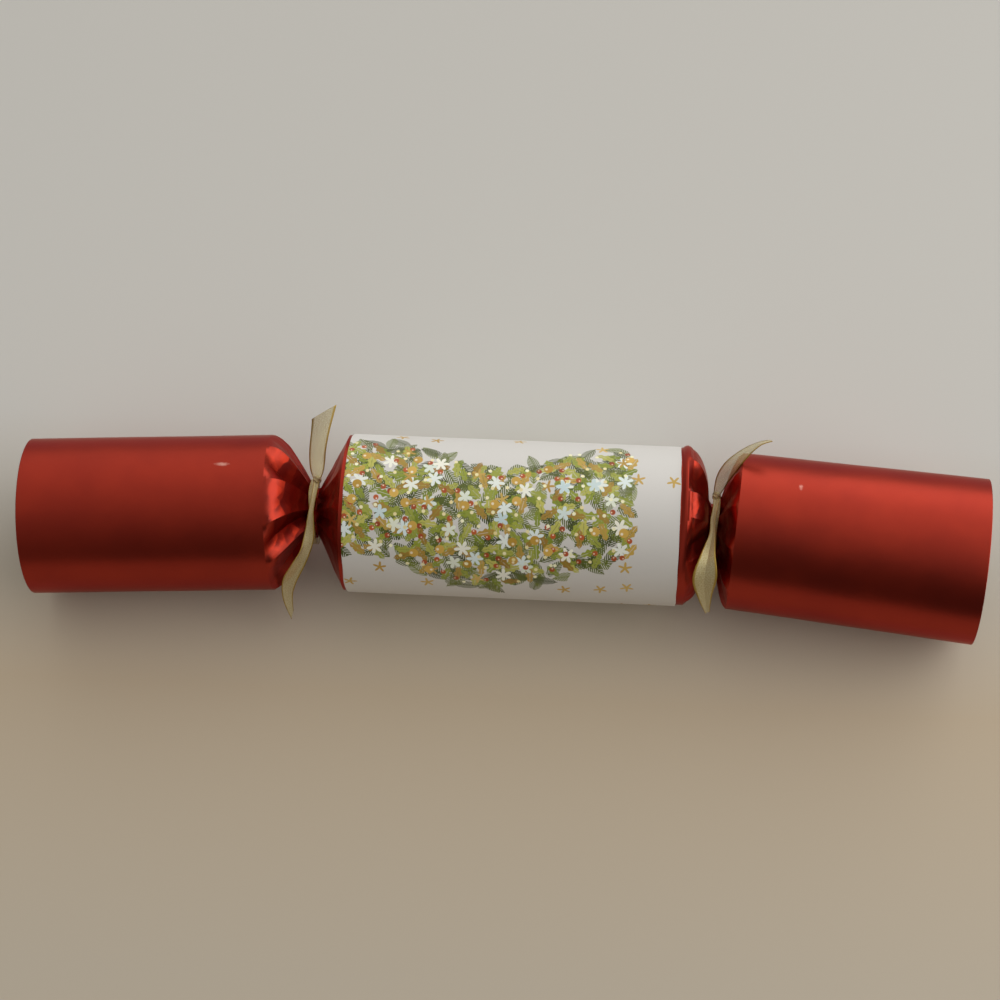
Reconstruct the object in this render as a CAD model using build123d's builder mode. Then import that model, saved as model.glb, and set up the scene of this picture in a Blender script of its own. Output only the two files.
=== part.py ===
"""A christmas cracker lying on a table: a card barrel and two card ends in one foil wrapper,
gathered into a pleated neck on each side of the barrel and tied there with ribbon.

Millimetres and degrees. X runs along the barrel, +Z is up, and the origin is on the table
under the middle of the barrel."""

import os
from math import atan, cos, degrees, radians, sin

from build123d import *

# Card tubes; the right end spreads at its open rim, wider and lower by its spread, as a thin tube does
tube_bore_d = 45.0
tube_wall = 1.0
barrel_length = 103.0
end_length = 74.0
right_rim_spread = 1.6

# Papers round the tubes
paper = 0.35
sleeve_paper = 0.25
sleeve_length = 100.5
sleeve_shift = -1.0
glue_gap = 0.05

# Necks: distance from the tie to the barrel's shoulder and to the end's shoulder, and the bend at rest
left_barrel_cone = 10.8
left_end_cone = 12.2
right_barrel_cone = 8.0
right_end_cone = 6.8
left_bend = 3.4
right_bend = 4.6

# Pleats: their number and spacing, and how deep the paper folds
pleat_count = 12
pleat_unevenness = 0.22
pleat_rhythm = 2.4
throat_fold = 1.2
end_neck_fold = 1.4
barrel_neck_fold = 1.5
cone_fold = 2.2
cone_bulge = 0.62
cone_slope_share = 0.7

# Where the wrapper tears: the barrel's neck stops short of the tie and only its throat runs through
tear_gap = 1.6
throat_step = 0.4
throat_reach = 0.8
throat_clearance = 0.3
neck_play = 0.5
seat_start = 0.2
seat_length = 2.3

# Ribbon
ribbon = 0.45
ribbon_width = 7.0
ribbon_bunched = 0.8
tie_width = 2.0
tie_clearance = 0.15
knot_r = 1.8
knot_offset = 1.0
knot_angle = 52.0
knot_sink = 0.1

# Snap: two card strips that lie face to face inside a paper cover
strip_width = 10.0
strip_card = 0.5
strip_gap = 0.7
strip_overlap = 30.0
strip_rim_gap = 18.0
charge = 0.25
charge_length = 12.0
charge_margin = 1.5
cover_paper = 0.25
cover_clearance = 0.15
cover_length = 26.0

# Paper hat, rolled, with its motto slip under a paper band
hat_roll_r = 6.6
hat_bore_r = 1.2
hat_length = 56.0
hat_x = -16.0
motto_paper = 0.2
motto_length = 44.0
motto_arc = 120.0
band_paper = 0.3
band_width = 8.0
loose_gap = 0.3

# Gift: a small plastic spinning top that lies on its rim and the end of its stem
top_r = 7.0
top_height = 6.0
top_crown_r = 4.0
top_tip = 4.5
tip_taper = 15.0
stem_r = 1.5
stem_length = 12.0
stem_fit = 0.02
top_x = 28.0

# Radii and heights that follow
tube_r = tube_bore_d / 2 + tube_wall
wrap_inner_r = tube_r + glue_gap
wrap_r = wrap_inner_r + paper
sleeve_inner_r = wrap_r + glue_gap
sleeve_r = sleeve_inner_r + sleeve_paper
barrel_axis_z = sleeve_r
end_axis_z = wrap_r
tube_inset = paper + glue_gap
left_neck_x = -barrel_length / 2 - left_barrel_cone
right_neck_x = barrel_length / 2 + right_barrel_cone

# Throats, as outside radii: the left one closes on the snap strip's edges, the right one lets the
# snap's cover through
cover_height = strip_width + 2 * cover_clearance
left_throat_valley_r = strip_width / 2 + paper
right_throat_valley_r = cover_height / 2 + cover_paper + throat_clearance + paper
throat_ridge_r = right_throat_valley_r + throat_fold

# Pleated necks, as outside radii: the ends' necks lie close round the throats
end_neck_valley_r = throat_ridge_r + neck_play + paper
neck_ridge_r = end_neck_valley_r + end_neck_fold
barrel_neck_valley_r = neck_ridge_r - barrel_neck_fold


def polar(radius, angle):
    """A point of a section, in its own plane."""
    return (radius * cos(radians(angle)), radius * sin(radians(angle)))


def fold_angles():
    """Angles of the valleys and ridges in turn, with the pleats unevenly spaced as hands leave them."""
    folds = 2 * pleat_count
    return [360 * (k + pleat_unevenness * sin(pleat_rhythm * k)) / folds for k in range(folds)]


def fold_section(plane, ridge_r, valley_r):
    """One section of the gathered paper: round where ridge and valley are alike, else pleated."""
    angles = fold_angles()
    ends = angles[1:] + [angles[0] + 360]
    radii = [valley_r, ridge_r] * pleat_count
    with BuildSketch(plane) as section:
        with BuildLine():
            for k, (start, end) in enumerate(zip(angles, ends)):
                first = polar(radii[k], start)
                last = polar(radii[(k + 1) % len(radii)], end)
                if ridge_r == valley_r:
                    ThreePointArc(first, polar(ridge_r, (start + end) / 2), last)
                else:
                    Line(first, last)
        make_face()
    return section.sketch


def cone_sections(plane, cone, tip, valley_r, inset):
    """Sections from the pleated tip to a tube's shoulder, moved inwards by inset for the inner side."""
    middle = tip + (cone - tip) / 2
    middle_r = neck_ridge_r + cone_bulge * (wrap_r - neck_ridge_r)
    slope_inset = cone_slope_share * inset
    ridge_r = middle_r - slope_inset
    return [
        fold_section(plane.offset(tip), neck_ridge_r - inset, valley_r - inset),
        fold_section(plane.offset(middle + slope_inset), ridge_r, ridge_r - cone_fold),
        fold_section(plane.offset(cone + inset), wrap_r - inset, wrap_r - inset),
    ]


def barrel_cone(plane, cone, throat_valley_r, inset):
    """Sections of the barrel's gathered side, which starts in the narrow throat under the ribbon."""
    throat = (throat_ridge_r - inset, throat_valley_r - inset)
    throat_sections = [
        fold_section(plane.offset(-throat_reach), *throat),
        fold_section(plane.offset(tear_gap - throat_step + inset), *throat),
    ]
    return throat_sections + cone_sections(plane, cone, tear_gap + inset, barrel_neck_valley_r, inset)


def end_cone(plane, cone, inset):
    """Sections of an end's gathered side, which starts in the straight seat of the ribbon."""
    seat = fold_section(plane.offset(seat_start), neck_ridge_r - inset, end_neck_valley_r - inset)
    return [seat] + cone_sections(plane, cone, seat_start + seat_length, end_neck_valley_r, inset)


def spread_tube(plane, start, rim, radius, spread):
    """Sections of a tube that is round at its shoulder and spreads to an oval at its rim, still on the table."""
    with BuildSketch(plane.offset(start)) as shoulder:
        Circle(radius)
    with BuildSketch(plane.offset(rim)) as mouth:
        if spread:
            with Locations((-spread, 0)):
                Ellipse(radius - spread, radius + spread)
        else:
            Circle(radius)
    return [shoulder.sketch, mouth.sketch]


def ribbon_sections(stations):
    """Flat sections of a tail, from stations of a point, the way across, a width and a thickness."""
    points = [Vector(*station[0]) for station in stations]
    sections = []
    for k, (_, across, width, thickness) in enumerate(stations):
        along = points[min(k + 1, len(points) - 1)] - points[max(k - 1, 0)]
        side = Vector(*across).normalized()
        face = along.cross(side).normalized()
        with BuildSketch(Plane(points[k], x_dir=side, z_dir=side.cross(face))) as section:
            Rectangle(width, thickness)
        sections.append(section.sketch)
    return sections


# Planes with their normals along each tube's axis: from a neck towards the barrel, or out along an end
up = (0, 0, 1)
left_barrel_plane = Plane((left_neck_x, 0, barrel_axis_z), x_dir=up, z_dir=(1, 0, 0))
right_barrel_plane = Plane((right_neck_x, 0, barrel_axis_z), x_dir=up, z_dir=(-1, 0, 0))
left_end_out = (-cos(radians(left_bend)), -sin(radians(left_bend)), 0)
right_end_out = (cos(radians(right_bend)), -sin(radians(right_bend)), 0)
left_end_plane = Plane((left_neck_x, 0, end_axis_z), x_dir=up, z_dir=left_end_out)
right_end_plane = Plane((right_neck_x, 0, end_axis_z), x_dir=up, z_dir=right_end_out)

parts = {}

# Barrel: card tube
with BuildPart() as barrel_tube:
    with BuildSketch(Plane.YZ.offset(-barrel_length / 2 + tube_inset)):
        with Locations((0, barrel_axis_z)):
            Circle(tube_r)
            Circle(tube_bore_d / 2, mode=Mode.SUBTRACT)
    extrude(amount=barrel_length - 2 * tube_inset)
parts["barrel_tube"] = barrel_tube.part

# Barrel: its length of the foil wrapper, gathered at both necks
barrel_sides = [
    (left_barrel_plane, left_barrel_cone, left_throat_valley_r),
    (right_barrel_plane, right_barrel_cone, right_throat_valley_r),
]
barrel_outside = [barrel_cone(*side, 0) for side in barrel_sides]
barrel_inside = [barrel_cone(*side, paper) for side in barrel_sides]
with BuildPart() as barrel_wrapper:
    with BuildSketch(Plane.YZ.offset(-barrel_length / 2)):
        with Locations((0, barrel_axis_z)):
            Circle(wrap_r)
    extrude(amount=barrel_length)
    for sections in barrel_outside:
        loft(sections=sections, ruled=True)
    with BuildSketch(Plane.YZ.offset(-barrel_length / 2 + paper)):
        with Locations((0, barrel_axis_z)):
            Circle(wrap_inner_r)
    extrude(amount=barrel_length - 2 * paper, mode=Mode.SUBTRACT)
    for sections in barrel_inside:
        loft(sections=sections, ruled=True, mode=Mode.SUBTRACT)
parts["barrel_wrapper"] = barrel_wrapper.part

# Barrel: printed paper sleeve
with BuildPart() as barrel_sleeve:
    with BuildSketch(Plane.YZ.offset(sleeve_shift - sleeve_length / 2)):
        with Locations((0, barrel_axis_z)):
            Circle(sleeve_r)
            Circle(sleeve_inner_r, mode=Mode.SUBTRACT)
    extrude(amount=sleeve_length)
parts["barrel_sleeve"] = barrel_sleeve.part

# Ends: card tube and foil wrapper
ends = {"left": (left_end_plane, left_end_cone), "right": (right_end_plane, right_end_cone)}
spreads = {"left": 0, "right": right_rim_spread}
for side, (plane, cone) in ends.items():
    rim = cone + end_length
    tube_outside = spread_tube(plane, cone + tube_inset, rim, tube_r, spreads[side])
    tube_inside = spread_tube(plane, cone + tube_inset, rim, tube_bore_d / 2, spreads[side])
    with BuildPart() as end_tube:
        loft(sections=tube_outside, ruled=True)
        loft(sections=tube_inside, ruled=True, mode=Mode.SUBTRACT)
    parts[f"{side}_end_tube"] = end_tube.part

    cone_outside = end_cone(plane, cone, 0)
    cone_inside = end_cone(plane, cone, paper)
    wrap_outside = spread_tube(plane, cone, rim, wrap_r, spreads[side])
    wrap_inside = spread_tube(plane, cone + paper, rim, wrap_inner_r, spreads[side])
    with BuildPart() as end_wrapper:
        loft(sections=wrap_outside, ruled=True)
        loft(sections=cone_outside, ruled=True)
        loft(sections=wrap_inside, ruled=True, mode=Mode.SUBTRACT)
        loft(sections=cone_inside, ruled=True, mode=Mode.SUBTRACT)
    parts[f"{side}_end_wrapper"] = end_wrapper.part

# Ribbons: a tight turn round the neck, a knot on the far side, and two tails chosen by hand.
# A tail's stations follow its knot: place along X from the neck in ribbon widths, rise from the tie (0)
# to the height of the shoulder (1), angle round the neck, the way across, the share of the ribbon's
# width that shows there, and the thickness.
tie_inner_r = neck_ridge_r + tie_clearance
tie_r = tie_inner_r + ribbon
tie_middle = seat_start + seat_length / 2
knot_reach = tie_r + knot_r - knot_sink
tails = {
    "left": [
        [
            (0.03, 0.398, 33.5, (1, 0.1, 0), 0.66, ribbon),
            (0.03, 0.714, 28.8, (1, 0, 0.1), 0.77, ribbon),
            (0.13, 1.086, 25.8, (1, 0, 0.2), 0.80, ribbon),
            (0.31, 1.501, 25.2, (1, 0.55, 0.2), 1.14, ribbon),
        ],
        [
            (-0.06, 0.131, 82.3, (1, 0.1, 0), 0.29, ribbon_bunched),
            (-0.04, 0.185, 108.4, (1, 0.1, 0), 0.31, ribbon_bunched),
            (0.00, 0.280, 128.0, (0.8, 0.5, 0.1), 0.49, ribbon),
            (-0.13, 0.545, 144.2, (0.7, 0.6, -0.2), 0.74, ribbon),
            (-0.44, 0.791, 157.3, (0.8, 0.3, -0.5), 0.80, ribbon),
            (-0.81, 0.908, 177.2, (0.9, 0.1, -0.4), 0.74, ribbon),
            (-0.96, 1.185, 196.2, (0.9, 0.3, -0.2), 0.51, ribbon),
            (-0.89, 1.647, 208.0, (0.8, 0.4, 0.4), 0.34, ribbon),
        ],
    ],
    "right": [
        [
            (0.34, 0.462, 45.2, (0.9, -0.4, 0.1), 0.60, ribbon),
            (0.59, 0.770, 46.8, (0.8, -0.5, 0.2), 0.69, ribbon),
            (0.91, 1.078, 46.5, (0.7, -0.5, 0.4), 0.66, ribbon),
            (1.37, 1.343, 44.6, (0.5, -0.6, 0.6), 0.54, ribbon),
            (1.81, 1.509, 43.0, (0.2, -0.6, 0.8), 0.46, ribbon),
            (2.33, 1.602, 42.4, (0.1, -0.5, 0.9), 0.40, ribbon),
        ],
        [
            (0.09, 0.151, 73.8, (1, 0.1, 0), 0.29, ribbon_bunched),
            (-0.04, 0.165, 96.5, (1, 0, 0.1), 0.31, ribbon_bunched),
            (-0.17, 0.247, 114.5, (1, 0, 0.1), 0.40, ribbon),
            (-0.21, 0.580, 130.0, (1, 0, 0.1), 0.77, ribbon),
            (-0.19, 0.940, 142.6, (1, 0.1, 0.1), 1.03, ribbon),
            (-0.14, 1.080, 159.8, (1, 0.2, 0.2), 0.66, ribbon),
            (-0.04, 1.240, 176.5, (0.9, 0.3, 0.3), 0.31, ribbon),
        ],
    ],
}
necks = {"left": left_neck_x, "right": right_neck_x}
outward = {"left": -1, "right": 1}
for side, (plane, _) in ends.items():
    knot_y, knot_rise = polar(knot_reach, knot_angle)
    knot_point = (necks[side] + outward[side] * knot_offset, knot_y, end_axis_z + knot_rise)
    tail_sections = []
    for tail in tails[side]:
        stations = [(knot_point, (1, 0, 0), knot_r, ribbon_bunched)]
        for x, rise, angle, across, share, thickness in tail:
            y, z = polar(tie_r + rise * (wrap_r - tie_r), angle)
            point = (necks[side] + x * ribbon_width, y, end_axis_z + z)
            stations.append((point, across, share * ribbon_width, thickness))
        tail_sections.append(ribbon_sections(stations))
    with BuildPart() as tie:
        with BuildSketch(plane.offset(tie_middle - tie_width / 2)):
            Circle(tie_r)
            Circle(tie_inner_r, mode=Mode.SUBTRACT)
        extrude(amount=tie_width)
        with Locations(knot_point):
            Sphere(knot_r)
        for sections in tail_sections:
            loft(sections=sections, ruled=True)
    parts[f"{side}_ribbon"] = tie.part

# Snap: each strip runs from past the middle of the barrel, through its neck and into its end
strip_middle = {"left": (strip_gap + strip_card) / 2, "right": -(strip_gap + strip_card) / 2}
for side, (_, cone) in ends.items():
    way = outward[side]
    inner_x = -way * strip_overlap / 2
    outer_x = necks[side] + way * (cone + end_length - strip_rim_gap)
    with BuildPart() as snap_strip:
        with Locations(((inner_x + outer_x) / 2, strip_middle[side], barrel_axis_z)):
            Box(abs(outer_x - inner_x), strip_card, strip_width)
    parts[f"{side}_snap_strip"] = snap_strip.part

    face_y = strip_middle[side] + way * strip_card / 2
    with BuildPart() as snap_charge:
        with Locations((0, face_y + way * charge / 2, barrel_axis_z)):
            Box(charge_length, charge, strip_width - 2 * charge_margin)
    parts[f"{side}_snap_charge"] = snap_charge.part

# Snap: paper cover, glued to the outer face of the right strip
cover_low_y = -strip_gap / 2 - strip_card
cover_high_y = -cover_low_y + cover_clearance
cover_room = cover_high_y - cover_low_y
with BuildPart() as snap_cover:
    with BuildSketch(Plane.YZ.offset(-cover_length / 2)):
        with Locations(((cover_low_y + cover_high_y) / 2, barrel_axis_z)):
            Rectangle(cover_room + 2 * cover_paper, cover_height + 2 * cover_paper)
            Rectangle(cover_room, cover_height, mode=Mode.SUBTRACT)
    extrude(amount=cover_length)
parts["snap_cover"] = snap_cover.part

# Hat: the roll, the motto slip over its upper side and the band that holds both
motto_inner_r = hat_roll_r + glue_gap
motto_r = motto_inner_r + motto_paper
band_inner_r = motto_r + glue_gap
band_r = band_inner_r + band_paper
barrel_floor_z = barrel_axis_z - tube_bore_d / 2
hat_axis_z = barrel_floor_z + loose_gap + band_r
with BuildPart() as paper_crown:
    with BuildSketch(Plane.YZ.offset(hat_x - hat_length / 2)):
        with Locations((0, hat_axis_z)):
            Circle(hat_roll_r)
            Circle(hat_bore_r, mode=Mode.SUBTRACT)
    extrude(amount=hat_length)
parts["paper_crown"] = paper_crown.part

with BuildPart() as motto_slip:
    with BuildSketch(Plane.YZ.offset(hat_x - motto_length / 2)):
        with BuildLine():
            start = 90 - motto_arc / 2
            outer = CenterArc((0, hat_axis_z), motto_r, start, motto_arc)
            inner = CenterArc((0, hat_axis_z), motto_inner_r, start, motto_arc)
            Line(outer @ 0, inner @ 0)
            Line(outer @ 1, inner @ 1)
        make_face()
    extrude(amount=motto_length)
parts["motto_slip"] = motto_slip.part

with BuildPart() as hat_band:
    with BuildSketch(Plane.YZ.offset(hat_x - band_width / 2)):
        with Locations((0, hat_axis_z)):
            Circle(band_r)
            Circle(band_inner_r, mode=Mode.SUBTRACT)
    extrude(amount=band_width)
parts["hat_band"] = hat_band.part

# Gift: the top leans until its rim and the end of its stem both lie on the barrel's floor
top_lean = degrees(atan((top_r - stem_r) / stem_length))
top_z = barrel_floor_z + loose_gap + top_r * cos(radians(top_lean))
top_along = (cos(radians(top_lean)), 0, -sin(radians(top_lean)))
top_plane = Plane((top_x, 0, top_z), x_dir=(0, 1, 0), z_dir=top_along)
with BuildPart() as top_body:
    with BuildSketch(top_plane):
        Circle(top_r)
    with BuildSketch(top_plane.offset(top_height / 2)):
        Circle(top_crown_r)
    loft()
    with BuildSketch(top_plane):
        Circle(top_r)
    with BuildSketch(top_plane.offset(-top_height / 2)):
        Circle(top_crown_r)
    loft()
    with BuildSketch(top_plane.offset(-top_height / 2)):
        Circle(stem_r + stem_fit)
    extrude(amount=top_height, mode=Mode.SUBTRACT)
parts["top_body"] = top_body.part

with BuildPart() as top_stem:
    with BuildSketch(top_plane.offset(-top_height / 2)):
        Circle(stem_r)
    extrude(amount=top_height / 2 + stem_length)
    with BuildSketch(top_plane.offset(-top_height / 2)):
        Circle(stem_r)
    extrude(amount=-top_tip, taper=tip_taper)
parts["top_stem"] = top_stem.part

os.makedirs("parts", exist_ok=True)
for name, part in parts.items():
    part.label = name
    export_step(part, f"parts/{name}.step")
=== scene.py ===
"""Looks of a christmas cracker in red foil paper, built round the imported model.

Metres, with +X along the barrel and +Z up; sizes given in mm are turned into metres where points are made.
"""
from cmath import phase, rect
from math import atan2, cos, pi, radians, sin

import bmesh
import bpy
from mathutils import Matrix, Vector, noise


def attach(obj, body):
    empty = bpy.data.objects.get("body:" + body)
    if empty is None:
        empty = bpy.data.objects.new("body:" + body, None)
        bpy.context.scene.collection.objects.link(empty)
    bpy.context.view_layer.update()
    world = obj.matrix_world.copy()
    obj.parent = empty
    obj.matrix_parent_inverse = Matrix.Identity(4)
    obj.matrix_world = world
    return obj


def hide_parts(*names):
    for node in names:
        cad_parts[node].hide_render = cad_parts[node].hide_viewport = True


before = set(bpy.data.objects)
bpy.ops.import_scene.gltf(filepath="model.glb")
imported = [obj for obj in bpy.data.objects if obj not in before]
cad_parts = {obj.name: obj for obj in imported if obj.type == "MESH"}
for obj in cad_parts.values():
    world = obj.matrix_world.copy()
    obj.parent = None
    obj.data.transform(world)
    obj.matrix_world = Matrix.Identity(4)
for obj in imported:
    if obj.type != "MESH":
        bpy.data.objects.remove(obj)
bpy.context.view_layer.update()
scene = bpy.context.scene
scene.view_settings.view_transform = "Standard"


# Camera: a phone held above the table and a little in front of the cracker, turned slightly.
# Its place, turn and lens were fitted to the outlines of the three tubes.
camera = bpy.data.objects.new("camera", bpy.data.cameras.new("camera"))
scene.collection.objects.link(camera)
camera.data.sensor_width = 36
camera.data.lens = 81.1
camera.location = (0.0368, -0.2119, 0.6763)
camera.rotation_euler = [radians(a) for a in (18.633, 2.565, 3.372)]
scene.camera = camera


# Light: a room that is bright behind the cracker and dim on the near side, which is what the foil
# mirrors, and a large soft window low on the right.
def add(tree, kind, links=(), **settings):
    """Adds a node. Settings are its properties; links are its inputs, by place or name, as values or sources."""
    made = tree.nodes.new("ShaderNode" + kind)
    for key, value in settings.items():
        setattr(made, key, value)
    for key, value in links.items() if isinstance(links, dict) else enumerate(links):
        if isinstance(value, bpy.types.Node):
            value = next(output for output in value.outputs if output.enabled)
        if isinstance(value, bpy.types.NodeSocket):
            tree.links.new(value, made.inputs[key])
        else:
            made.inputs[key].default_value = value
    return made


def linear(code):
    """An sRGB hex colour as the linear values that the shaders take."""
    parts = [int(code[i:i + 2], 16) / 255 for i in (1, 3, 5)]
    return [p / 12.92 if p <= 0.04045 else ((p + 0.055) / 1.055) ** 2.4 for p in parts] + [1.0]


def set_ramp(ramp, stops):
    """Sets a colour ramp's first and last stops and adds those between, from pairs of place and colour."""
    bar = ramp.color_ramp.elements
    for place, code in stops[1:-1]:
        bar.new(place)
    for stop, (place, code) in zip(bar, stops):
        stop.position = place
        stop.color = linear(code)


world = bpy.data.worlds.new("room")
scene.world = world
world.use_nodes = True
room = world.node_tree
room.nodes.clear()
# Brightness by direction: most behind, more in the back right and front left corners and far to the right,
# least at the near right
look = add(room, "TexCoord")
facing = add(room, "VectorMath", (look.outputs["Generated"], (0, 0.92, 0.15)), operation="DOT_PRODUCT")
sides = add(room, "SeparateXYZ", (look.outputs["Generated"],))
corner = add(room, "Math", (sides.outputs["X"], sides.outputs["Y"]), operation="MULTIPLY")
turned = add(room, "Math", (corner, 1.2, facing.outputs["Value"]), operation="MULTIPLY_ADD")
right = add(room, "Math", (sides.outputs["X"], 3.0), operation="POWER")
lifted = add(room, "Math", (right, 0.5, turned), operation="MULTIPLY_ADD")
near = add(room, "Math", (sides.outputs["Y"], 0.0), operation="MINIMUM")
rightward = add(room, "MapRange", {"Value": sides.outputs["X"], "From Min": -0.12, "From Max": 0.06})
dim = add(room, "Math", (near, rightward), operation="MULTIPLY")
deepened = add(room, "Math", (dim, 0.4, lifted), operation="MULTIPLY_ADD")
glow = add(room, "MapRange", {"Value": deepened, "From Min": -1.0, "From Max": 1.15})
shade = add(room, "ValToRGB", {"Fac": glow})
set_ramp(shade, ((0.03, "#332f2b"), (0.17, "#4b463f"), (0.28, "#696560"), (0.42, "#807d78"),
                 (0.6, "#9c9a95"), (0.73, "#b8b6b2"), (0.92, "#cfcdca"), (1.0, "#fffefc")))
backdrop = add(room, "Background", {"Color": shade, "Strength": 1.85})
add(room, "OutputWorld", {"Surface": backdrop})

window = bpy.data.objects.new("window", bpy.data.lights.new("window", "AREA"))
window.data.shape = "RECTANGLE"
window.data.size = 1.5
window.data.size_y = 1.5
window.data.energy = 10.0
window.data.color = (1.0, 0.98, 0.95)
window.location = (1.25, -0.10, 0.80)
window.rotation_euler = (Vector((0, 0, 0)) - window.location).to_track_quat("-Z", "Y").to_euler()
scene.collection.objects.link(window)


# Table: a plain painted board, which the cracker lies on.
# The paint is matt. Its colour changes slowly from pale grey behind to beige on the near side, which is painted
# shade, warmed by the light the red foil throws on the floor in front.
def finish_mesh(name, bm, material, crease=26):
    """Makes a bmesh into an object with one material, smooth but for creases over so many degrees."""
    mesh = bpy.data.meshes.new(name)
    bm.to_mesh(mesh)
    bm.free()
    mesh.shade_smooth()
    mesh.set_sharp_from_angle(angle=radians(crease))
    mesh.materials.append(material)
    made = bpy.data.objects.new(name, mesh)
    scene.collection.objects.link(made)
    return made


def new_material(name):
    """An empty material, its tree and its shader, already joined to the output."""
    material = bpy.data.materials.new(name)
    material.use_nodes = True
    tree = material.node_tree
    tree.nodes.clear()
    shader = add(tree, "BsdfPrincipled")
    add(tree, "OutputMaterial", {"Surface": shader})
    return material, tree, shader


board_paint_and_shade, tree, shader = new_material("board_paint_with_painted_shade")
place = add(tree, "TexCoord")
split = add(tree, "SeparateXYZ", (place.outputs["Object"],))
# Painted shade: the ramp makes the board darker and warmer towards the near side of the cracker
depth = add(tree, "MapRange", {"Value": split.outputs["Y"], "From Min": -0.16, "From Max": 0.06})
tone = add(tree, "ValToRGB", {"Fac": depth})
set_ramp(tone, ((0.1, "#c3b9a9"), (0.5, "#c9b9a2"), (0.9, "#d6d5d1")))
tree.links.new(tone.outputs["Color"], shader.inputs["Base Color"])
shader.inputs["Roughness"].default_value = 0.9
shader.inputs["Specular IOR Level"].default_value = 0.1
bm = bmesh.new()
bmesh.ops.create_grid(bm, x_segments=1, y_segments=1, size=1.5)
table = finish_mesh("table", bm, board_paint_and_shade)
table.location.z = -0.0002


# Card tubes: grey board rolled from spiral strips, which stiffen the barrel and both open ends.
# They are bare inside the open ends, a mottled grey-brown with a slight tooth.
def mottled(name, node_names, low, high, grain_mm, roughness, relief_mm):
    """Gives pieces of the model a material whose tone and relief wander together, at the given grain."""
    material, tree, shader = new_material(name)
    place = add(tree, "TexCoord")
    per_metre = 1000 / grain_mm
    grain = add(tree, "TexNoise", {"Vector": place.outputs["Object"], "Scale": per_metre, "Detail": 4.0})
    tone = add(tree, "ValToRGB", {"Fac": grain})
    set_ramp(tone, ((0.3, low), (0.7, high)))
    relief = add(tree, "Bump", {"Height": grain, "Strength": 0.5, "Distance": relief_mm / 1000})
    tree.links.new(tone.outputs["Color"], shader.inputs["Base Color"])
    tree.links.new(relief.outputs["Normal"], shader.inputs["Normal"])
    shader.inputs["Roughness"].default_value = roughness
    for node_name in node_names:
        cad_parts[node_name].data.materials.clear()
        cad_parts[node_name].data.materials.append(material)


mottled("grey_board", ("barrel_tube", "left_end_tube", "right_end_tube"),
        "#877c6d", "#a89d8c", 1.1, 0.85, 0.1)


# Foil wrapper: metallised paper lacquered red, rolled round the card tubes and glued along a lap, then
# pulled in at each neck, where it falls into sharp uneven pleats. Sizes are in mm.
mm = 0.001
wrap_r = 23.8
neck_r = 9.5
facet_steps = 8
lap_columns = 5
lap_step = 0.14
foil_sheet = 0.22
crumple_depth = 0.4
sag_depth = 0.06
foil_crease = 15
barrel_axis_z = 24.2
end_axis_z = 23.9
necks = {"left": -61.0, "right": 59.5}
bends = {"left": radians(3.4), "right": radians(4.6)}
outward = {"left": -1, "right": 1}
end_cones = {"left": 13.5, "right": 6.8}
barrel_cones = {"left": 9.5, "right": 8.0}
end_length = 74.0
rim_spread = {"left": 0.0, "right": 1.6}
# Pale marks: middle and half-sizes
pale_marks = (((-87.6, 6.4, 46.3), (2.6, 0.9, 0.9)), ((84.5, 7.1, 45.9), (0.9, 1.4, 1.4)))
# Puff of the foil beside the sleeve's right edge: its place along X, reach, rise and turn towards the back
puff_at = 51.2
puff_reach = 1.7
puff_rise = 1.3
puff_turn = 0.4

# Lacquered foil: gives the eye a satin red mirror with slow waves, broken by creases at the gathers
foil, tree, shader = new_material("red_foil_paper")
place = add(tree, "TexCoord")
# Mottle of 17 mm, waves of 8 mm and a paper grain of 0.7 mm, coarser than the real one
mottle = add(tree, "TexNoise", {"Vector": place.outputs["Object"], "Scale": 60.0, "Detail": 3.0})
waves = add(tree, "TexNoise", {"Vector": place.outputs["Object"], "Scale": 130.0, "Detail": 2.0})
grain = add(tree, "TexNoise", {"Vector": place.outputs["Object"], "Scale": 1400.0, "Detail": 2.0})
red = add(tree, "ValToRGB", {"Fac": mottle})
set_ramp(red, ((0.35, "#9b2510"), (0.65, "#a42a13")))
# A pale pink mark of 2 to 5 mm, with a ragged edge, on top of each end
marked = red
for centre, reach in pale_marks:
    away = add(tree, "VectorMath", (place.outputs["Object"], [c * mm for c in centre]), operation="SUBTRACT")
    scaled = add(tree, "VectorMath", (away, [r * mm for r in reach]), operation="DIVIDE")
    length = add(tree, "VectorMath", (scaled,), operation="LENGTH")
    ragged = add(tree, "Math", (grain, 0.9, length.outputs["Value"]), operation="MULTIPLY_ADD")
    pale_mark = add(tree, "MapRange", {"Value": ragged, "From Min": 1.4, "From Max": 0.7, "To Max": 0.75})
    marked = add(tree, "Mix", {"Factor": pale_mark, "A": marked, "B": linear("#dba294")}, data_type="RGBA")
tree.links.new(marked.outputs["Result"], shader.inputs["Base Color"])
rough = add(tree, "MapRange", {"Value": mottle, "To Min": 0.28, "To Max": 0.38})
tree.links.new(rough.outputs["Result"], shader.inputs["Roughness"])
fine = add(tree, "Bump", {"Height": grain, "Strength": 0.12, "Distance": 0.0001})
broad = add(tree, "Bump", {"Height": waves, "Strength": 0.25, "Distance": 0.0004, "Normal": fine})
# Creases 4 mm apart where the paper is gathered
gathered = add(tree, "Attribute", attribute_name="gathered")
cells = add(tree, "TexVoronoi", {"Vector": place.outputs["Object"], "Scale": 250.0})
crease = add(tree, "Math", (cells.outputs["Distance"], gathered.outputs["Fac"]), operation="MULTIPLY")
crumpled = add(tree, "Bump", {"Height": crease, "Strength": 0.6, "Distance": 0.0008, "Normal": broad})
tree.links.new(crumpled.outputs["Normal"], shader.inputs["Normal"])
shader.inputs["Metallic"].default_value = 1.0
shader.inputs["Coat Weight"].default_value = 0.4
shader.inputs["Coat Roughness"].default_value = 0.35
shader.inputs["Specular Tint"].default_value = linear("#eca898")

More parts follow.
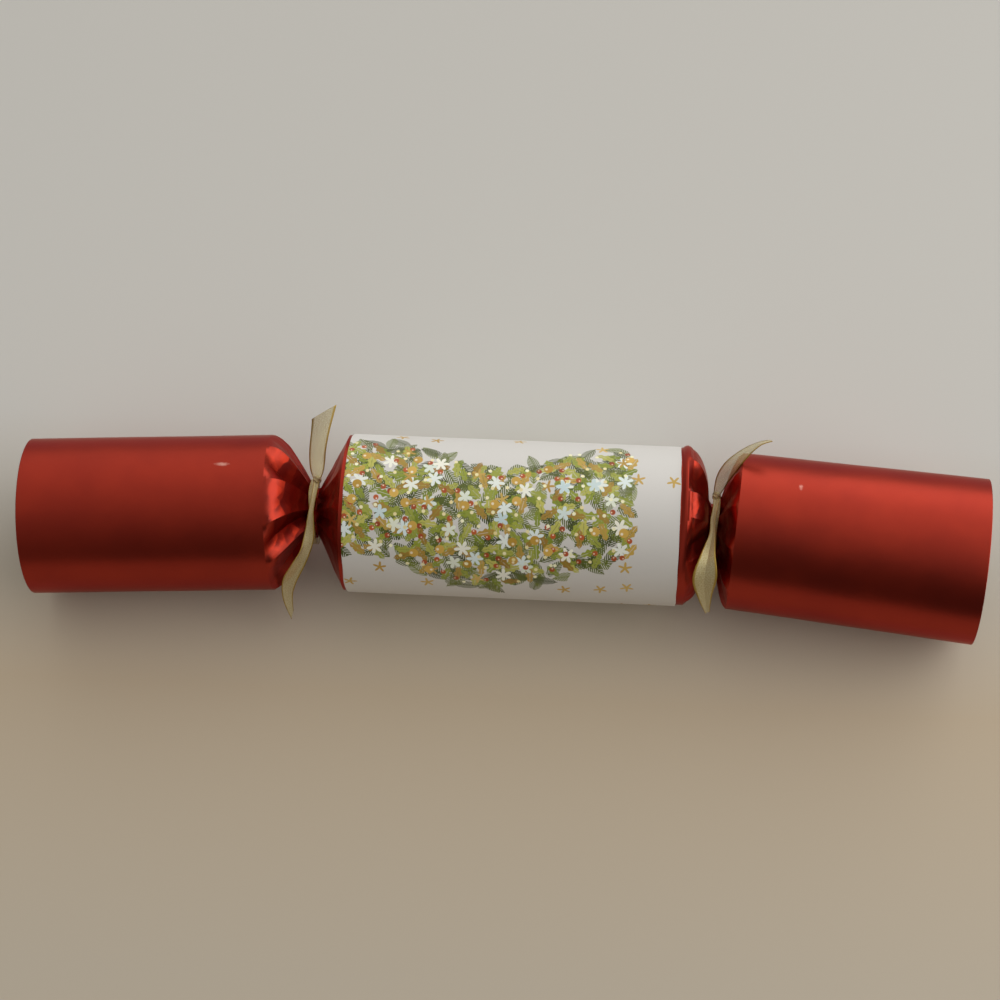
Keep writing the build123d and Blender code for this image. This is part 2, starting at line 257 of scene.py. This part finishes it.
# Back of the foil paper: uncoated white, with fibres drawn 1 mm long, coarser than the real ones
foil_back, tree, shader = new_material("white_paper_back")
place = add(tree, "TexCoord")
fibre = add(tree, "TexNoise", {"Vector": place.outputs["Object"], "Scale": 1000.0, "Detail": 3.0})
white = add(tree, "ValToRGB", {"Fac": fibre})
set_ramp(white, ((0.3, "#cfccc6"), (0.7, "#dcdad5")))
tree.links.new(white.outputs["Color"], shader.inputs["Base Color"])
rough = add(tree, "Bump", {"Height": fibre, "Strength": 0.2, "Distance": 0.0001})
tree.links.new(rough.outputs["Normal"], shader.inputs["Normal"])
shader.inputs["Roughness"].default_value = 0.75


def end_point(side, distance, radius, angle):
    """A point of an end, by distance along its bent axis; angles go from the top towards the back."""
    along = Vector((outward[side] * cos(bends[side]), -sin(bends[side]), 0))
    back = Vector((outward[side] * sin(bends[side]), cos(bends[side]), 0))
    spread = rim_spread[side] * min(max((distance - end_cones[side]) / end_length, 0), 1)
    wide, high = (radius + spread) * sin(angle), (radius - spread) * cos(angle) - spread
    return (Vector((necks[side], 0, end_axis_z + high)) + along * distance + back * wide) * mm


def barrel_point(distance, radius, angle):
    """A point of the barrel's papers, by its place along X; the foil puffs up beside the sleeve's edge."""
    puff = max(0, 1 - ((distance - puff_at) / puff_reach) ** 2) * max(0, cos(angle - puff_turn))
    radius += puff_rise * puff
    return Vector((distance, radius * sin(angle), barrel_axis_z + radius * cos(angle))) * mm


def cone_rows(start, cone, throat, bulge, folds, rows=14):
    """Rows from a neck to a shoulder: distance from the neck, ridge radius, fold depth, share, folds."""
    made = []
    for i in range(rows + 1):
        share = i / rows
        rise = sin(pi * share / 2) ** bulge if bulge else share
        depth = (1 - share) * (2.0 + 8.5 * share)
        made.append((start + (cone - start) * share, throat + (wrap_r - throat) * rise, depth, share, folds))
    return made


def face_out(bm):
    """Turns the faces of an open tube outwards."""
    bm.normal_update()
    middle = sum((vert.co for vert in bm.verts), Vector()) / len(bm.verts)
    if sum(face.normal.dot(face.calc_center_median() - middle) for face in bm.faces) < 0:
        bmesh.ops.reverse_faces(bm, faces=bm.faces)


def foil_piece(name, body, node_name, rows, locate):
    """One length of the wrapper: a grid with rows along the axis and flat facets between the folds."""
    bm = bmesh.new()
    gathered = bm.verts.layers.float.new("gathered")
    columns = facet_steps * len(rows[0][4])
    across = columns + lap_columns
    bmesh.ops.create_grid(bm, x_segments=across, y_segments=len(rows) - 1, size=1)
    for vert in bm.verts:
        column = round((vert.co.x + 1) / 2 * across)
        distance, ridge, depth, share, folds = rows[round((vert.co.y + 1) / 2 * (len(rows) - 1))]
        first, part = divmod(column % columns, facet_steps)
        part /= facet_steps
        edges = []
        for i in (first, first + 1):
            at_neck, at_shoulder, bow, deep = folds[i % len(folds)]
            angle = at_neck + (at_shoulder - at_neck) * share + 4 * bow * share * (1 - share)
            angle += 360 * (i // len(folds))
            edges.append((ridge - depth * deep, radians(angle)))
        (near_r, near_angle), (far_r, far_angle) = edges
        arc = rect(near_r + (far_r - near_r) * part, near_angle + (far_angle - near_angle) * part)
        flat = rect(near_r, near_angle) * (1 - part) + rect(far_r, far_angle) * part
        point = flat + (arc - flat) * share ** 3
        angle, radius = phase(point), abs(point)
        round_it = Vector((0, cos(angle), sin(angle)))
        crumple = noise.noise(5 * round_it + Vector((distance * 0.32, 0, 0)))
        crumple += 0.35 * noise.noise(13 * round_it + Vector((distance * 0.8, 0, 0)))
        vert[gathered] = min(depth / 3, 1)
        radius += crumple_depth * min(depth / 3, 1) * (0.2 + 0.8 * min(4 * share, 1)) * crumple
        radius += sag_depth * noise.noise(1.4 * round_it + Vector((distance * 0.06, 0, 0))) - 0.04
        radius += lap_step * max(0, column - columns) / lap_columns
        vert.co = locate(distance, radius, angle)
    face_out(bm)
    made = finish_mesh(name, bm, foil, foil_crease)
    made.data.materials.append(foil_back)
    paper = made.modifiers.new("paper", "SOLIDIFY")
    paper.thickness = foil_sheet * mm
    paper.offset = -1
    paper.material_offset = 1
    paper.material_offset_rim = 1
    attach(made, body)
    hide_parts(node_name)


# Folds of each gathered cone: angle at the neck, angle at the shoulder, bow between them, and depth,
# which is 0 for a ridge
folds = {
    "left_end": (
        (-170, -170, 0, 0), (-150, -152, 0, 1.1), (-128, -128, 0, 0), (-112, -116, 0, 1.0), (-94, -98, 0, 0),
        (-76, -82, 4, 1.2), (-47, -60, 2, 0), (-27, -44, 0, 2.0), (-14, -28, 0, -0.2), (-6, -14, 0, 0.1),
        (12, 6, 0, -0.25), (25, 25, -2, 2.2), (41, 38, 0, -0.2), (54, 52, 0, 0.4), (68, 66, 0, -0.1),
        (88, 88, 0, 1.1), (110, 110, 0, 0), (130, 130, 0, 1.1), (150, 150, 0, 0), (170, 168, 0, 1.0)),
    "right_end": (
        (-172, -170, 0, 0), (-154, -152, 0, 1.1), (-134, -134, 0, 0), (-116, -118, 0, 1.1), (-98, -98, 0, 0),
        (-80, -84, 0, 1.2), (-62, -66, 0, 0), (-44, -50, 0, 1.3), (-27, -32, 0, 0), (-12, -14, 0, 0.9),
        (3, 0, 0, 0), (18, 16, 0, 1.3), (34, 30, 0, 0), (49, 46, 0, 1.0), (64, 62, 0, 0),
        (84, 82, 0, 1.1), (104, 104, 0, 0), (126, 126, 0, 1.1), (146, 146, 0, 0), (168, 168, 0, 1.0)),
    "left_barrel": (
        (-170, -170, 0, 0), (-150, -150, 0, 0.6), (-128, -128, 0, 0), (-112, -112, 0, 0.5), (-96, -96, 0, 0),
        (-70, -70, 0, 0.5), (-45, -45, 0, 0), (-28, -28, 0, 0.7), (-14, -14, 0, 0), (2, 2, 0, 0.6),
        (16, 16, 0, 0), (33, 33, 0, 0.5), (50, 50, 0, 0), (61, 61, 0, 0.3), (72, 72, 0, 0),
        (90, 90, 0, 0.6), (110, 110, 0, 0), (130, 130, 0, 0.6), (150, 150, 0, 0), (170, 170, 0, 0.6)),
    "right_barrel": (
        (-170, -170, 0, 0), (-150, -150, 0, 1.0), (-128, -128, 0, 0), (-112, -112, 0, 0.9), (-90, -90, 0, 0),
        (-66, -66, 0, 0.2), (-42, -46, 0, 0.3), (-28, -34, 0, 1.6), (-13, -11, 0, -0.45), (-3, -3, 0, -0.6),
        (8, 7, 0, -0.45), (20, 15, 0, 2.0), (40, 38, 0, -0.3), (50, 50, 0, -0.1), (62, 62, 0, -0.2),
        (84, 84, 0, 1.0), (108, 108, 0, 0), (130, 130, 0, 1.1), (150, 150, 0, 0), (170, 170, 0, 1.0)),
}
barrel_bulges = {"left": 0, "right": 0.5}
straight_rows = [0.35, 1.0] + [1 + (end_length - 1) * i / 30 for i in range(1, 30)]
barrel_rows = {}
for side in ("left", "right"):
    pattern = folds[side + "_end"]
    cone = end_cones[side]
    rows = [(0.2, neck_r - 1.1, 1.9, 0, pattern)]
    rows += cone_rows(1.4, cone, neck_r - 0.8, 1.05, pattern)
    rows += [(cone + d, wrap_r, 0, 1, pattern) for d in straight_rows + [end_length - 0.15, end_length]]
    foil_piece(side + "_end_foil", side + "_end", side + "_end_wrapper", rows,
               lambda distance, radius, angle, side=side: end_point(side, distance, radius, angle))
    pattern = folds[side + "_barrel"]
    cone = barrel_cones[side]
    rows = [(-0.8, 7.2, 1.1, 0, pattern), (0.6, 7.2, 1.1, 0, pattern)]
    rows += cone_rows(1.3, cone, neck_r - 1.4, barrel_bulges[side], pattern)
    rows += [(cone + d, wrap_r, 0, 1, pattern) for d in (0.35, 0.8, 1.3, 1.8, 3.0, 50.0)]
    barrel_rows[side] = [(necks[side] - outward[side] * row[0],) + row[1:] for row in rows]
foil_piece("barrel_foil", "barrel", "barrel_wrapper",
           barrel_rows["left"] + barrel_rows["right"][::-1], barrel_point)


# Sleeve: white coated paper, printed, wrapped once round the barrel and glued along a lap behind it.
# The print is a thick garland of fir, leaves, berries and small flowers, with gold stars beside it.
sleeve_r = 24.2
sleeve_sheet = 0.12
sleeve_length = 99.65
sleeve_from = -50.4
sleeve_start = radians(130)
sleeve_turn = 2 * pi * 1.04
sleeve_arc = sleeve_r * sleeve_turn
lap_rise = 0.16
ripple_depth = 0.03
cut_depth = 0.22
sheet_white = "#dcdad7"
garland_at = 91.0
garland_pitch = 76.0
garland_stop = 85.7
garland_wave = 74.0
garland_sway = 5.5
# The edge of every motif fades over this width
ink_edge = 0.1
# Inks: pitch of the motifs, where their scatter starts, their sizes and two tones, in mm of the flat sheet.
# Petals and berries also have half the width of garland they keep to (0 is anywhere) and the share printed
fir_inks = (
    (7.4, (3.0, 11.0, 0), 4.6, 2.0, "#424d1b", "#646f24"),
    (6.6, (31.0, 5.0, 0), 4.1, 1.8, "#5c6a22", "#818d31"),
    (7.0, (17.0, 43.0, 0), 4.4, 1.7, "#3a451d", "#717c2e"),
)
leaf_inks = (
    (5.6, (7.0, 23.0, 0), 2.9, 1.25, "#7c8d2b", "#a6ae42"),
    (6.4, (41.0, 13.0, 0), 3.2, 1.35, "#919d3c", "#c9c566"),
    (7.2, (13.0, 61.0, 0), 3.3, 1.3, "#9d7a30", "#ceac55"),
)
petal_inks = (
    (9.0, (19.0, 29.0, 0), 2.6, 6, 1.2, "#fdfbec", "#e6f5f8", 17.0, 0.5),
    (10.5, (53.0, 37.0, 0), 2.3, 5, 1.0, "#cee3e9", "#f1f5e2", 16.0, 0.42),
    (9.5, (23.0, 71.0, 0), 2.2, 5, 3.2, "#bc9642", "#ddbe6e", 0, 0.30),
)
berry_inks = (
    (4.6, (5.0, 47.0, 0), 0.85, "#9c4425", "#c46032", 19.0, 0.5),
    (7.8, (37.0, 19.0, 0), 1.45, "#bb9235", "#e0b85c", 19.0, 0.45),
    (4.2, (29.0, 3.0, 0), 0.6, "#eee09f", "#ffffde", 21.0, 0.5),
)
# Coated paper: gives the eye a soft white sheen, with the inks lying flat in it
printed, tree, shader = new_material("printed_coated_paper")
sheet = add(tree, "UVMap", uv_map="sheet")
flat = add(tree, "VectorMath", (sheet, (sleeve_length, sleeve_arc, 0)), operation="MULTIPLY")


def scatter(pitch, start):
    """Puts one motif in each cell and gives its own turned X and Y, its chances and its middle."""
    moved = add(tree, "VectorMath", (flat, start), operation="ADD")
    cells = add(tree, "TexVoronoi", {"Vector": moved, "Scale": 1 / pitch, "Randomness": 0.8},
                voronoi_dimensions="2D")
    local = add(tree, "VectorMath", (moved, cells.outputs["Position"]), operation="SUBTRACT")
    chance = add(tree, "SeparateColor", (cells.outputs["Color"],))
    angle = add(tree, "Math", (chance.outputs["Red"], 2 * pi), operation="MULTIPLY")
    turned = add(tree, "VectorRotate", {"Vector": local, "Angle": angle}, rotation_type="Z_AXIS")
    own = add(tree, "SeparateXYZ", (turned,))
    middle = add(tree, "VectorMath", (cells.outputs["Position"], start), operation="SUBTRACT")
    at = add(tree, "SeparateXYZ", (middle,))
    return own.outputs["X"], own.outputs["Y"], chance, at.outputs["X"], at.outputs["Y"]


def in_garland(x, y, half_width):
    """1 where a motif's middle lies in a garland, which sways along the sleeve and stops before its end."""
    wave = add(tree, "Math", (x, 2 * pi / garland_wave, 0.9), operation="MULTIPLY_ADD")
    sway = add(tree, "Math", (wave,), operation="SINE")
    line = add(tree, "Math", (sway, -garland_sway, y), operation="MULTIPLY_ADD")
    off = add(tree, "Math", (line, garland_at), operation="SUBTRACT")
    away = add(tree, "Math", (off, garland_pitch / 2), operation="PINGPONG")
    inside = add(tree, "Math", (away, half_width), operation="LESS_THAN")
    before = add(tree, "Math", (x, garland_stop), operation="LESS_THAN")
    return add(tree, "Math", (inside, before), operation="MULTIPLY")


def taper(x, y, length, width):
    """The half-width of a pointed shape along X at a point, and how far the point is from the X axis."""
    reach = add(tree, "Math", (x, length), operation="DIVIDE")
    square = add(tree, "Math", (reach, reach), operation="MULTIPLY")
    half = add(tree, "Math", (square, -width, width), operation="MULTIPLY_ADD")
    return half, add(tree, "Math", (y,), operation="ABSOLUTE")


def lay_ink(paper, mask, low, high, chance):
    """Prints one more ink over the paper's colour so far, its tone varied from motif to motif."""
    tone = add(tree, "Mix", {"Factor": chance.outputs["Green"], "A": linear(low), "B": linear(high)},
               data_type="RGBA")
    return add(tree, "Mix", {"Factor": mask, "A": paper, "B": tone}, data_type="RGBA")


# Fir sprigs: a stem with needles 0.5 mm thick slanting from both sides
ink = linear(sheet_white)
for pitch, start, length, width, low, high in fir_inks:
    x, y, chance, mid_x, mid_y = scatter(pitch, start)
    half, beside = taper(x, y, length, width)
    spare = add(tree, "Math", (half, beside), operation="SUBTRACT")
    inside = add(tree, "Math", (spare, 1 / ink_edge), operation="MULTIPLY", use_clamp=True)
    slant = add(tree, "Math", (beside, 1.1, x), operation="MULTIPLY_ADD")
    needles = add(tree, "Math", (slant, 0.85), operation="DIVIDE")
    gap = add(tree, "Math", (needles,), operation="FRACT")
    needle = add(tree, "Math", (gap, 0.62), operation="LESS_THAN")
    stem = add(tree, "Math", (beside, 0.16), operation="LESS_THAN")
    drawn = add(tree, "Math", (needle, stem), operation="MAXIMUM")
    sprig = add(tree, "Math", (inside, drawn), operation="MULTIPLY")
    mask = add(tree, "Math", (sprig, in_garland(mid_x, mid_y, 21.0)), operation="MULTIPLY")
    ink = lay_ink(ink, mask, low, high, chance)

# Leaves: pointed, with wavy edges and a pale rib
for pitch, start, length, width, low, high in leaf_inks:
    x, y, chance, mid_x, mid_y = scatter(pitch, start)
    half, beside = taper(x, y, length, width)
    lobes = add(tree, "Math", (x, 2 * pi / (0.62 * length)), operation="MULTIPLY")
    lobe = add(tree, "Math", (lobes,), operation="COSINE")
    wavy = add(tree, "Math", (lobe, 0.22, 0.85), operation="MULTIPLY_ADD")
    edge = add(tree, "Math", (half, wavy), operation="MULTIPLY")
    spare = add(tree, "Math", (edge, beside), operation="SUBTRACT")
    inside = add(tree, "Math", (spare, 1 / ink_edge), operation="MULTIPLY", use_clamp=True)
    rib = add(tree, "Math", (beside, 0.10), operation="LESS_THAN")
    paled = add(tree, "Math", (rib, -0.6, 1.0), operation="MULTIPLY_ADD")
    leaf = add(tree, "Math", (inside, paled), operation="MULTIPLY")
    mask = add(tree, "Math", (leaf, in_garland(mid_x, mid_y, 19.0)), operation="MULTIPLY")
    ink = lay_ink(ink, mask, low, high, chance)

# Flowers and stars: petals round a middle, told apart by how many and how sharp they are
for pitch, start, size, petals, sharp, low, high, half_width, share in petal_inks:
    x, y, chance, mid_x, mid_y = scatter(pitch, start)
    around = add(tree, "Math", (y, x), operation="ARCTAN2")
    halved = add(tree, "Math", (around, petals / 2), operation="MULTIPLY")
    wave = add(tree, "Math", (halved,), operation="COSINE")
    lobe = add(tree, "Math", (wave,), operation="ABSOLUTE")
    petal = add(tree, "Math", (lobe, sharp), operation="POWER")
    edge = add(tree, "Math", (petal, 0.68 * size, 0.32 * size), operation="MULTIPLY_ADD")
    own = add(tree, "CombineXYZ", (x, y))
    away = add(tree, "VectorMath", (own,), operation="LENGTH")
    spare = add(tree, "Math", (edge, away.outputs["Value"]), operation="SUBTRACT")
    inside = add(tree, "Math", (spare, 1 / ink_edge), operation="MULTIPLY", use_clamp=True)
    here = add(tree, "Math", (chance.outputs["Blue"], share), operation="LESS_THAN")
    mask = add(tree, "Math", (inside, here), operation="MULTIPLY")
    if half_width:
        mask = add(tree, "Math", (mask, in_garland(mid_x, mid_y, half_width)), operation="MULTIPLY")
    ink = lay_ink(ink, mask, low, high, chance)

# Berries and small baubles: round, with a lighter spot
for pitch, start, size, low, high, half_width, share in berry_inks:
    x, y, chance, mid_x, mid_y = scatter(pitch, start)
    own = add(tree, "CombineXYZ", (x, y))
    here = add(tree, "Math", (chance.outputs["Blue"], share), operation="LESS_THAN")
    mask = add(tree, "Math", (here, in_garland(mid_x, mid_y, half_width)), operation="MULTIPLY")
    for middle, reach, first, second in ((0, 1.0, low, high), (0.3, 0.32, "#ebdab4", "#f9f0db")):
        away = add(tree, "VectorMath", (own, (middle * size, middle * size, 0)), operation="DISTANCE")
        spare = add(tree, "Math", (reach * size, away.outputs["Value"]), operation="SUBTRACT")
        inside = add(tree, "Math", (spare, 1 / ink_edge), operation="MULTIPLY", use_clamp=True)
        spot = add(tree, "Math", (inside, mask), operation="MULTIPLY")
        ink = lay_ink(ink, spot, first, second, chance)

tree.links.new(ink.outputs["Result"], shader.inputs["Base Color"])
# Paper fibre of about 0.6 mm, coarser than the real one
fibre = add(tree, "TexNoise", {"Vector": flat, "Scale": 1.6, "Detail": 3.0})
bump = add(tree, "Bump", {"Height": fibre, "Strength": 0.08, "Distance": 0.0002})
tree.links.new(bump.outputs["Normal"], shader.inputs["Normal"])
shader.inputs["Roughness"].default_value = 0.42
shader.inputs["Specular IOR Level"].default_value = 0.4
bm = bmesh.new()
sheet_uv = bm.loops.layers.uv.new("sheet")
bmesh.ops.create_grid(bm, x_segments=48, y_segments=150, size=1)
# The rows next to both cut edges are moved close to them, which keeps the edges crisp
for vert in bm.verts:
    if 0.95 < abs(vert.co.x) < 0.99:
        vert.co.x *= 0.997 / abs(vert.co.x)
for face in bm.faces:
    for loop in face.loops:
        loop[sheet_uv].uv = [(c + 1) / 2 for c in loop.vert.co.xy]
for vert in bm.verts:
    along, around = [(c + 1) / 2 for c in vert.co.xy]
    angle = sleeve_start + sleeve_turn * around
    lap = max(0, sleeve_turn * around - 2 * pi) / (sleeve_turn - 2 * pi)
    ripple = ripple_depth * (noise.noise(Vector((along * 3, 3 * cos(angle), 3 * sin(angle)))) - 1)
    wander = noise.noise(Vector((8 * along, 3.2 * cos(angle), 3.2 * sin(angle))))
    cut = cut_depth * wander * (2 * along - 1) ** 8
    radius = sleeve_r + ripple + lap_rise * lap
    vert.co = barrel_point(sleeve_from + sleeve_length * along + cut, radius, angle)
face_out(bm)
sleeve = finish_mesh("printed_sleeve", bm, printed)
paper = sleeve.modifiers.new("paper", "SOLIDIFY")
paper.thickness = sleeve_sheet * mm
paper.offset = -1
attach(sleeve, "barrel")
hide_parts("barrel_sleeve")


# Ribbons: sheer gold ribbon with closer woven edges, tied round each neck in one tight turn with a
# knot on the far side; the two tails of each are left as the hand left them.
ribbon_sheet = 0.16
tie_r = 10.0
tie_at = 0.8
tie_width = 1.6
tie_steps = 24
knot_r = 1.25
# Lame: gives the eye a sheer gold that glitters from thread to thread, with closer and darker edges
lame, tree, shader = new_material("gold_lame_ribbon")
weave = add(tree, "UVMap", uv_map="ribbon")
# Threads of 0.3 mm across a ribbon of 7 mm, drawn coarser than the real ones
threads = add(tree, "VectorMath", (weave, (22.0, 240.0, 0)), operation="MULTIPLY")
counts = add(tree, "SeparateXYZ", (threads,))
warp = add(tree, "Math", (counts.outputs["X"], 0.5), operation="PINGPONG")
weft = add(tree, "Math", (counts.outputs["Y"], 0.5), operation="PINGPONG")
cross = add(tree, "Math", (warp, weft), operation="MULTIPLY")
glitter = add(tree, "TexNoise", {"Vector": threads, "Scale": 0.7, "Detail": 2.0})
gold = add(tree, "ValToRGB", {"Fac": glitter})
set_ramp(gold, ((0.3, "#c7b46f"), (0.7, "#fdf4c9")))
across = add(tree, "SeparateXYZ", (weave,))
offset = add(tree, "Math", (across.outputs["X"], 0.5), operation="SUBTRACT")
beside = add(tree, "Math", (offset,), operation="ABSOLUTE")
selvedge = add(tree, "MapRange", {"Value": beside, "From Min": 0.38, "From Max": 0.44})
toned = add(tree, "Mix", {"Factor": selvedge, "A": gold, "B": linear("#b1933e")}, data_type="RGBA")
tree.links.new(toned.outputs["Result"], shader.inputs["Base Color"])
sheer = add(tree, "MapRange", {"Value": selvedge, "To Min": 0.45, "To Max": 0.85})
tree.links.new(sheer.outputs["Result"], shader.inputs["Alpha"])
woven = add(tree, "Bump", {"Height": cross, "Strength": 0.6, "Distance": 0.0002})
tree.links.new(woven.outputs["Normal"], shader.inputs["Normal"])
shader.inputs["Metallic"].default_value = 0.5
shader.inputs["Roughness"].default_value = 0.4


def between(values, t):
    """A smooth value through a list of stations, for t from 0 to 1."""
    place = t * (len(values) - 1)
    i = min(int(place), len(values) - 2)
    u = place - i
    a, b = values[max(i - 1, 0)], values[i]
    c, d = values[i + 1], values[min(i + 2, len(values) - 1)]
    bend = (a * 2 - b * 5 + c * 4 - d) * (u * u / 2)
    return b + (c - a) * (u / 2) + bend + (b * 3 - a - c * 3 + d) * (u ** 3 / 2)


def strip(bm, layer, stations, rows, slant, cup, crease):
    """Adds ribbon along stations of point, way across and width, with a slanted cut and a cupped section."""
    points = [Vector(s[0]) for s in stations]
    ways = [Vector(s[1]).normalized() for s in stations]
    widths = [s[2] for s in stations]
    made = bmesh.ops.create_grid(bm, x_segments=8, y_segments=rows, size=1)
    for face in {f for v in made["verts"] for f in v.link_faces}:
        for loop in face.loops:
            loop[layer].uv = [(c + 1) / 2 for c in loop.vert.co.xy]
    for vert in made["verts"]:
        side, t = vert.co.x, (vert.co.y + 1) / 2
        along = (between(points, min(t + 0.02, 1)) - between(points, max(t - 0.02, 0))).normalized()
        way = between(ways, t).normalized()
        width = between(widths, t)
        vert.co = between(points, t) + way * side * width / 2 + along * slant * side * t ** 10
        vert.co += along.cross(way).normalized() * cup * width * (abs(side) ** crease - 0.5)
        vert.co *= mm


def round_neck(side, x, rise, angle):
    """A point by a neck: place along X from it, rise from the tie (0) to the shoulder's height (1), angle."""
    radius = tie_r + rise * (wrap_r - tie_r)
    return (necks[side] + x, radius * cos(radians(angle)), end_axis_z + radius * sin(radians(angle)))


# Tails: slant of the cut, cup, how round the cup is, then stations of x, rise, angle, way across, width
knots = {"left": (0.3, 0.12, 52.0), "right": (0.7, 0.12, 52.0)}
tails = {
    "left": (
        (1.8, 0.10, 2, (
            (0.3, 0.12, 52.0, (1, 0, 0), 1.9), (0.1, 0.25, 42.0, (1, 0.1, 0), 3.9),
            (-0.2, 0.42, 34.0, (1, 0.1, 0), 4.8), (-0.3, 0.714, 28.8, (1, 0, 0.1), 5.3),
            (0.2, 1.086, 25.8, (1, 0, 0.2), 6.0), (1.1, 1.50, 25.2, (1, 0.1, 0.2), 7.2))),
        (-1.5, 0.12, 2, (
            (0.3, 0.12, 52.0, (1, 0, 0), 1.6), (0.2, 0.125, 82.3, (1, 0.1, 0), 1.5),
            (-0.3, 0.160, 108.4, (1, 0.1, 0), 1.6), (-0.4, 0.270, 128.0, (0.8, 0.5, 0.1), 3.0),
            (-0.9, 0.545, 144.2, (0.7, 0.6, -0.2), 4.8), (-3.3, 0.791, 157.3, (0.8, 0.3, -0.5), 5.0),
            (-6.5, 0.908, 177.2, (0.9, 0.1, -0.4), 4.6), (-8.0, 1.185, 196.2, (0.9, 0.3, -0.2), 3.2),
            (-7.3, 1.647, 208.0, (0.8, 0.4, 0.4), 1.5))),
    ),
    "right": (
        (0.6, 0.12, 2, (
            (0.7, 0.12, 52.0, (1, 0, 0), 1.8), (2.2, 0.462, 45.2, (0.9, -0.4, 0.1), 4.0),
            (4.0, 0.750, 46.8, (0.8, -0.5, 0.2), 4.8), (6.4, 1.020, 47.5, (0.7, -0.5, 0.4), 4.6),
            (9.6, 1.250, 46.6, (0.5, -0.6, 0.6), 3.8), (12.7, 1.390, 45.5, (0.2, -0.6, 0.8), 3.2),
            (15.6, 1.450, 45.0, (0.1, -0.5, 0.9), 2.8))),
        (0.0, 0.20, 1, (
            (0.7, 0.12, 52.0, (1, 0, 0), 1.8), (0.5, 0.135, 73.8, (1, 0.1, 0), 1.6),
            (-0.2, 0.155, 96.5, (1, 0, 0.1), 1.5), (-0.3, 0.370, 114.5, (1, 0, 0.1), 1.8),
            (-1.5, 0.900, 129.0, (1, 0, 0.1), 4.4), (-2.2, 1.100, 142.6, (1, 0.1, 0.1), 7.2),
            (-1.8, 1.110, 159.8, (1, 0.2, 0.2), 4.4), (-0.7, 1.240, 176.5, (0.9, 0.3, 0.3), 1.3))),
    ),
}
for side in ("left", "right"):
    bm = bmesh.new()
    layer = bm.loops.layers.uv.new("ribbon")
    for slant, cup, crease, stations in tails[side]:
        path = [(round_neck(side, *station[:3]), station[3], station[4]) for station in stations]
        strip(bm, layer, path, 8 * len(path), slant, cup, crease)
    along = (end_point(side, 10, 0, 0) - end_point(side, 0, 0, 0)).normalized()
    turn = []
    for i in range(tie_steps + 1):
        point = end_point(side, tie_at, tie_r - 0.12, radians(360 / tie_steps * i)) / mm
        turn.append((point, along, tie_width + 0.25 * sin(1.3 * i)))
    strip(bm, layer, turn, 4 * tie_steps, 0, 0.1, 2)
    middle = Vector(round_neck(side, *knots[side]))
    knot = bmesh.ops.create_icosphere(bm, subdivisions=3, radius=knot_r)["verts"]
    for face in {f for v in knot for f in v.link_faces}:
        for loop in face.loops:
            loop[layer].uv = [0.5 + 0.1 * c / knot_r for c in loop.vert.co.xy]
    for vert in knot:
        fold = 1 + 0.12 * sin(6 * atan2(vert.co.y, vert.co.z) + 4 * vert.co.x / knot_r)
        vert.co = (middle + vert.co * fold) * mm
    bmesh.ops.recalc_face_normals(bm, faces=bm.faces)
    ribbon = finish_mesh(side + "_gold_ribbon", bm, lame)
    cloth = ribbon.modifiers.new("cloth", "SOLIDIFY")
    cloth.thickness = ribbon_sheet * mm
    cloth.offset = 0
    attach(ribbon, side + "_end")
    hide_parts(side + "_ribbon")


# Snap: two strips of buff card that overlap in the barrel, each with a dab of dried grey compound at
# its tip, held together by a wrap of kraft paper. All are dull, and the compound is gritty.
mottled("snap_card", ("left_snap_strip", "right_snap_strip"), "#b7a684", "#cdbe9e", 1.6, 0.8, 0.08)
mottled("dried_snap_compound", ("left_snap_charge", "right_snap_charge"),
        "#4d4844", "#6b645c", 0.4, 0.95, 0.15)
mottled("kraft_paper", ("snap_cover",), "#8d6d49", "#a78660", 1.0, 0.8, 0.06)


# Hat, motto and band: a crown of dyed tissue rolled up tight, with the motto slip laid round it and both
# held by a band of thin paper. The tissue shows soft crinkles; the papers are nearly even.
mottled("green_tissue", ("paper_crown",), "#2f7d46", "#4c9a5e", 2.5, 0.75, 0.3)
mottled("motto_paper", ("motto_slip",), "#dcd8cc", "#ece9df", 1.2, 0.7, 0.05)
mottled("white_band_paper", ("hat_band",), "#d9d4c6", "#e9e5da", 1.2, 0.7, 0.05)


# Gift: a little spinning top, its body and its stem moulded from two colours of plastic and pressed together.
# Both are smooth and a little glossy.
mottled("blue_moulded_plastic", ("top_body",), "#1f4f9c", "#2a5fae", 3.0, 0.3, 0.02)
mottled("yellow_moulded_plastic", ("top_stem",), "#d9a516", "#e6b52e", 3.0, 0.3, 0.02)
